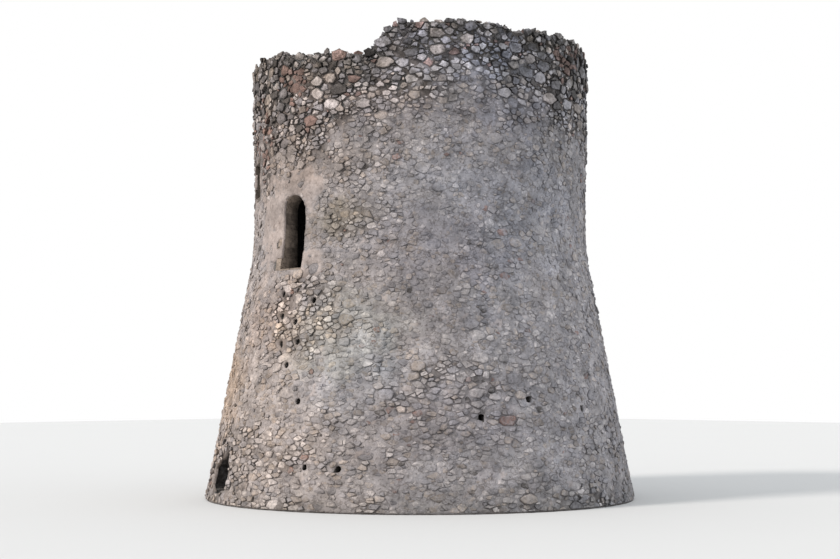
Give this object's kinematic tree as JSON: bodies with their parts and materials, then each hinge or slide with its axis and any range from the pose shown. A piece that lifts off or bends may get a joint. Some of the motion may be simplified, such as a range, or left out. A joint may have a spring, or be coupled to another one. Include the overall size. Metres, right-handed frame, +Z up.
{
  "type": "ruined round coastal watchtower",
  "caption": "Round rubble-stone coast watchtower in ruin, with a battered base, an upright drum, a high arched doorway and a broken crown.",
  "frame": {"origin": "centre of the circular foot at the lowest point where it meets the ground", "axes": "+Z up; the doorway faces -Y; the picture looks from between +X and -Y"},
  "size_m": [7.98, 7.98, 8.3996],
  "materials": {
    "rubble_wall": "weathered limestone rubble in lime mortar",
    "crown_rubble": "rough open-jointed limestone rubble",
    "rubble_fill": "rubble and lime fill",
    "dressed_stone": "dressed soft sandstone, worn",
    "vault_plaster": "lime-washed vault stones",
    "paving": "worn stone flags"
  },
  "bodies": {
    "root": {"base_wall_1": "rubble_wall", "base_wall_2": "rubble_wall", "base_wall_3": "rubble_wall", "base_wall_4": "rubble_wall", "base_wall_5": "rubble_wall", "base_wall_6": "rubble_wall", "base_wall_7": "rubble_wall", "base_wall_8": "rubble_wall", "base_fill": "rubble_fill", "chamber_floor": "paving", "drum_wall_1": "rubble_wall", "drum_wall_2": "rubble_wall", "drum_wall_3": "rubble_wall", "drum_wall_4": "rubble_wall", "drum_wall_5": "rubble_wall", "drum_wall_6": "rubble_wall", "drum_wall_7": "rubble_wall", "door_window_pier": "rubble_wall", "wall_over_door": "rubble_wall", "wall_under_window": "rubble_wall", "wall_over_window": "rubble_wall", "door_sill": "dressed_stone", "door_jamb_left": "dressed_stone", "door_jamb_right": "dressed_stone", "door_arch": "dressed_stone", "window_sill": "dressed_stone", "window_jambs": "dressed_stone", "window_lintel": "dressed_stone", "vault_1": "vault_plaster", "vault_2": "vault_plaster", "vault_3": "vault_plaster", "vault_4": "vault_plaster", "vault_fill": "rubble_fill", "terrace_paving": "paving", "hatch_kerb": "dressed_stone", "parapet_1": "crown_rubble", "parapet_2": "crown_rubble", "parapet_3": "crown_rubble", "parapet_4": "crown_rubble", "parapet_5": "crown_rubble", "parapet_6": "crown_rubble", "parapet_7": "crown_rubble", "parapet_8": "crown_rubble"}
  },
  "joints": []
}
